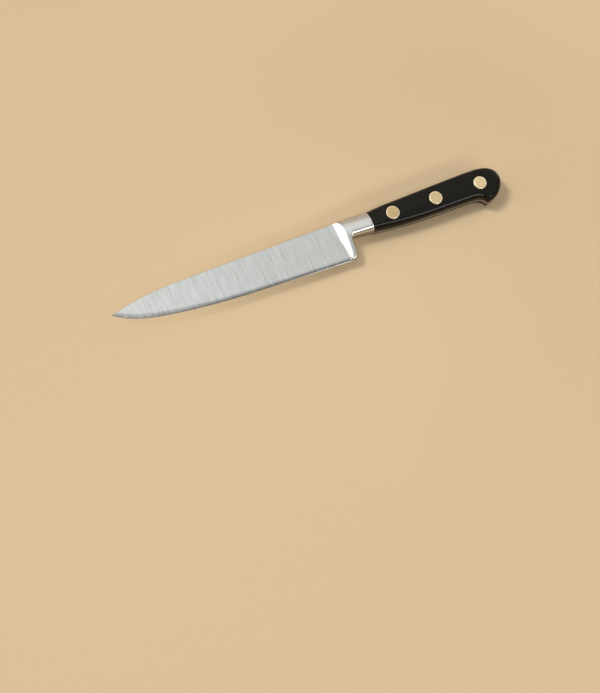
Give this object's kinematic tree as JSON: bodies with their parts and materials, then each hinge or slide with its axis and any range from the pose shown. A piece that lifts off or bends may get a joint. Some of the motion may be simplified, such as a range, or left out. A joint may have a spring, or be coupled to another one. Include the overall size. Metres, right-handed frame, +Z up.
{
  "type": "fillet knife",
  "caption": "Forged fillet knife: slim pointed blade, finger guard and full tang in one piece, black scales held by flush brass rivets; for filleting and boning.",
  "frame": {"origin": "centre of the knife's footprint as it lies on its side, on the plane of the lower scale's flat face", "axes": "+X from the point of the blade to the butt, +Y from the cutting edge to the spine, +Z up, square to the blade"},
  "size_m": [0.2618, 0.0296, 0.014],
  "materials": {
    "steel": "fine lines across the blade, polished ramp and bolster",
    "black_resin": "dense black resin, satin, with lightly polished edges",
    "brass": "ground flush with the scales, fine scratches"
  },
  "bodies": {
    "root": {"blade_and_tang": "steel", "upper_scale": "black_resin", "lower_scale": "black_resin", "front_rivet_sleeve": "brass", "front_rivet_pin": "brass", "middle_rivet_sleeve": "brass", "middle_rivet_pin": "brass", "rear_rivet_sleeve": "brass", "rear_rivet_pin": "brass"}
  },
  "joints": []
}
